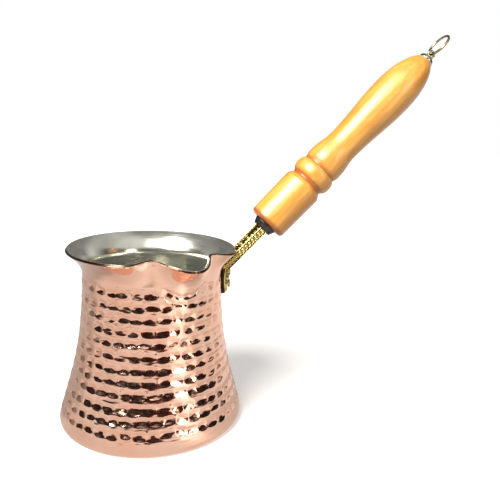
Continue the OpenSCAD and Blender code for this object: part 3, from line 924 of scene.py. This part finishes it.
def make_camera():
    data = bpy.data.cameras.new("camera")
    data.sensor_width = SENSOR
    data.lens = LENS_PER_WIDTH * SENSOR
    data.shift_x = SHIFT_X
    data.clip_start = 0.01
    camera = bpy.data.objects.new("camera", data)
    bpy.context.scene.collection.objects.link(camera)
    look = Vector((math.sin(CAMERA_YAW) * math.cos(CAMERA_PITCH),
                   math.cos(CAMERA_YAW) * math.cos(CAMERA_PITCH),
                   -math.sin(CAMERA_PITCH)))
    right = Vector((math.cos(CAMERA_YAW), -math.sin(CAMERA_YAW), 0))
    up = right.cross(look)
    c, s = math.cos(CAMERA_ROLL), math.sin(CAMERA_ROLL)
    x = c * right + s * up
    y = -s * right + c * up
    m = Matrix((x, y, -look)).transposed().to_4x4()
    m.translation = CAMERA_AT
    camera.matrix_world = m
    bpy.context.scene.camera = camera


def emission(name, colour=None, attribute_name=None):
    """A glow of one colour, or of the colours in a mesh's attribute."""
    m = bpy.data.materials.new(name)
    m.use_nodes = True
    tree = m.node_tree
    tree.nodes.clear()
    e = node(tree, "ShaderNodeEmission")
    e.inputs["Strength"].default_value = 1.0
    if colour:
        e.inputs["Color"].default_value = (*colour, 1)
    if attribute_name:
        tree.links.new(attribute(tree, attribute_name, vector=True), e.inputs["Color"])
    out = node(tree, "ShaderNodeOutputMaterial")
    tree.links.new(e.outputs["Emission"], out.inputs["Surface"])
    return m


def window(az, el, az0, az1, el0, el1, soft=4.0):
    """1 inside a range of directions and 0 outside it, with soft edges."""
    across = ease((az - az0 + soft) / soft / 2) * ease((az1 - az + soft) / soft / 2)
    return across * ease((el - el0 + soft) / soft / 2) * ease((el1 - el + soft) / soft / 2)


# Brightness of each window and lamp in the room, then its range of azimuth and of elevation
WINDOWS = ((1.8, 31, 49, -20, 20), (2.2, -75, 20, 41, 72), (4.5, -82, -42, 46, 74))
WALL, DARKEST, SHADE = 0.92, 0.015, 0.12


def room(az, el):
    """Colour of the room seen in the metal, by direction in degrees. Azimuth 0 is towards the photo's
    camera and positive to its right."""
    # Pale walls, darker on the far left, with a dark band above the table
    front = ease((az + 112) / 24) * ease((128 - az) / 36)
    deep = ease((45 - az) / 30) * 0.85 + 0.15
    start = 1.2 - 0.8 * ease((az + 10) / 30)
    dark = ease((el - start) / 4) * (1 - ease((el - 32) / 8)) * front
    level = WALL - 0.10 * ease((az + 20) / 60) - 0.66 * window(az, el, -168, -90, -30, 82, 12)
    level = level + (DARKEST + 0.10 * (1 - deep) - level) * dark
    for bright, *where in WINDOWS:
        level = np.maximum(level, bright * window(az, el, *where))
    # The ceiling is dim, but only the dark band is nearly black
    level = np.maximum(level - 0.60 * ease((el - 72) / 6), SHADE)
    level = level + (DARKEST - SHADE) * dark * (level < SHADE + 0.01)
    # Behind the pot the walls are grey
    back = ease((np.abs(az) - 128) / 20) * ease((el + 6) / 4)
    grey = 0.10 + 0.14 * ease((az + 150) / 60)
    level = level + (grey - level) * back
    level = level * (1 - 0.35 * ease((np.abs(az) - 70) / 20) * ease((el - 25) / 15))
    warm = 0.75 * dark * ease((0.2 - level) / 0.1)
    red, green, blue = 1 + 0.3 * warm, 0.975 - 0.45 * warm, 0.93 - 0.6 * warm
    return np.stack([level * red, level * green, level * blue], axis=-1)


def glowing(name, points, colours, wrap=True):
    """A mesh that only reflections see, with its own colours."""
    obj = grid_mesh(name, points, wrap=wrap, attributes={"glow": colours})
    obj.data.materials.append(emission(name + "_glow", attribute_name="glow"))
    seen_only_by(obj, "glossy")


def build_room():
    """A dome round the table: walls, windows and a ceiling."""
    r = 1500.0
    az, el = np.meshgrid(np.linspace(-180, 180, 361)[:-1], np.linspace(-12, 90, 103))
    up, turn = np.radians(el), np.radians(FRONT_AZ + az)
    points = np.stack([r * np.cos(up) * np.cos(turn), r * np.cos(up) * np.sin(turn), r * np.sin(up)], axis=-1)
    glowing("room", points, room(az, el))


def card(name, corners, colours):
    """A dark four-cornered card."""
    a, b, c, d = np.array(corners, float)
    u, v = np.meshgrid(np.linspace(0, 1, 24), np.linspace(0, 1, 24))
    right, up = u[..., None], v[..., None]
    points = (1 - up) * ((1 - right) * a + right * b) + up * (right * c + (1 - right) * d)
    glowing(name, points, colours(u, v), wrap=False)


def at_azimuth(az, distance, z):
    a = math.radians(FRONT_AZ + az)
    return (distance * math.cos(a), distance * math.sin(a), z)


def build_cards():
    def maroon(u, v):
        level = 0.75 + 0.25 * np.sin(9 * u + 4 * v)
        return np.stack([0.12 * level, 0.028 * level, 0.024 * level], axis=-1)

    def brown(u, v):
        level = 0.05 + 0.34 * ease((v - 0.72) / 0.28) + 0.06 * np.square(np.sin(7 * u + 5 * v))
        return np.stack([level * 1.15, level, level * 0.92], axis=-1)

    card("person", [at_azimuth(-10, 330, 8), at_azimuth(-4, 330, 2),
                    at_azimuth(42, 330, 70), at_azimuth(-8, 330, 95)], maroon)
    card("table_edge", [at_azimuth(-72, 290, 0.5), at_azimuth(-6, 290, 0.5),
                        at_azimuth(8, 372, 0.5), at_azimuth(-76, 372, 0.5)], brown)


def table_glow():
    """The pale table as the metal sees it: a little darker than it looks from the camera."""
    az = np.linspace(-180, 180, 241)[:-1]
    r = np.concatenate([np.linspace(4, 130, 40), np.geomspace(140, 900, 30)])
    az, r = np.meshgrid(az, r)
    turn = np.radians(FRONT_AZ + az)
    points = np.stack([r * np.cos(turn), r * np.sin(turn), 0 * r], axis=-1)
    level = 0.82 + 0.14 * ease((r - 60) / 120)
    # Painted light and shade: a bright streak towards 40 degrees, darker parts on the left and at the sides,
    # and a painted shadow behind the pot
    level = level + 0.75 * bell(az - 40, 8) * ease((r - 40) / 60)
    level = level * (1 - 0.5 * window(az, 0, -156, -92, -9, 9, 14))
    shadow = bell(az - 150, 40) * ease((170 - r) / 90)
    level = level * (1 - 0.5 * shadow) * (1 - 0.15 * bell(np.abs(az) - 75, 25))
    glow = np.stack([level, level * 0.965, level * 0.92], axis=-1)
    glowing("table_glow", points[::-1], glow[::-1])


def build_floor():
    """A pale floor that gets brighter away from the pot, and a white backdrop behind it."""
    n = 3000.0
    points = np.array([[[-n, -n, 0], [n, -n, 0]], [[-n, n, 0], [n, n, 0]]], float)
    floor = grid_mesh("floor", points, wrap=False, smooth=False)
    m, tree, bsdf = material("floor")
    bsdf.inputs["Base Color"].default_value = (0.92, 0.92, 0.92, 1)
    bsdf.inputs["Roughness"].default_value = 0.9
    bsdf.inputs["Specular IOR Level"].default_value = 0.0
    bsdf.inputs["Emission Color"].default_value = (1, 1, 1, 1)
    distance = node(tree, "ShaderNodeVectorMath", operation="LENGTH")
    tree.links.new(object_coords(tree), distance.inputs[0])
    glow = remap(tree, distance.outputs["Value"], 0.12, 0.75, 0.34, 1.0)
    tree.links.new(glow, bsdf.inputs["Emission Strength"])
    floor.data.materials.append(m)
    floor.visible_glossy = False
    floor.visible_diffuse = False
    far = 4500.0
    a = np.linspace(0, 2 * math.pi, 97)[:-1]
    wall = np.array([[(far * math.cos(t), far * math.sin(t), z) for t in a] for z in (-200.0, 4000.0)])
    back = grid_mesh("backdrop", wall)
    back.data.materials.append(emission("backdrop_white", colour=(1, 1, 1)))
    seen_only_by(back, "camera")


def lamp(name, at, aim, size, watts, colour):
    data = bpy.data.lights.new(name, "AREA")
    data.shape = "DISK"
    data.size = size
    data.energy = watts
    data.color = colour
    obj = bpy.data.objects.new(name, data)
    bpy.context.scene.collection.objects.link(obj)
    obj.location = at
    obj.rotation_euler = (Vector(aim) - Vector(at)).to_track_quat("-Z", "Y").to_euler()


def build_lights():
    lamp("key", (-0.6, -0.5, 0.9), (0.05, 0, 0.08), 0.75, 24, (1.0, 0.98, 0.92))
    lamp("fill", (0.6, -0.8, 0.45), (0.05, 0, 0.1), 0.3, 1.6, (1.0, 0.9, 0.75))
    world = bpy.data.worlds.new("studio")
    world.use_nodes = True
    world.node_tree.nodes["Background"].inputs["Color"].default_value = (1, 1, 1, 1)
    world.node_tree.nodes["Background"].inputs["Strength"].default_value = 0.24
    bpy.context.scene.world = world


# ---- Build ----

def finish_piece(obj, body, mat, cad_node):
    obj.data.materials.clear()
    obj.data.materials.append(mat)
    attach(obj, body)
    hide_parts(cad_node)


copper, tin, wood = copper_material(), tin_material(), wood_material()
cast = brass_material("cast_brass", (0.80, 0.64, 0.25), (0.025, 0.018, 0.003), 0.2)
rivet_brass = brass_material("rivet_brass", (0.80, 0.55, 0.22), (0.2, 0.1, 0.03), 0.22)
dark_steel = steel_material("dark_steel", (0.035, 0.032, 0.03), (0.12, 0.11, 0.10), 0.3, 0.5)
plated = steel_material("plated_steel", (0.36, 0.34, 0.27), (0.55, 0.53, 0.46), 0.14, 0.3)
antique = steel_material("antique_steel", (0.18, 0.16, 0.095), (0.58, 0.52, 0.33), 0.14, 0.3)
rod_steel = steel_material("rod_steel", (0.4, 0.4, 0.41), (0.6, 0.6, 0.62), 0.3, 0.45)

finish_piece(pot_body(), "pot", copper, "pot_body")
finish_piece(tin_lining(), "pot", tin, "tin_lining")
finish_piece(joined("cast_bracket", [leaf(), arm(), boss()]), "pot", cast, "handle_bracket")
for which in ("upper", "lower"):
    cad_node = "rivet_" + which
    finish_piece(rivet("domed_" + cad_node, cad_node), "pot", rivet_brass, cad_node)
finish_piece(collar(), "pot", dark_steel, "collar")
finish_piece(grip(), "pot", wood, "wood_grip")
finish_piece(end_cap(), "pot", plated, "end_cap")
finish_piece(eye(), "pot", antique, "hanging_eye")
finish_piece(ring(), "ring", antique, "hanging_ring")
rod = frame["nodes"]["tie_rod"]
rod.data.materials.clear()
rod.data.materials.append(rod_steel)

make_camera()
build_floor()
table_glow()
build_room()
build_cards()
build_lights()
bpy.context.scene.view_settings.view_transform = "Standard"

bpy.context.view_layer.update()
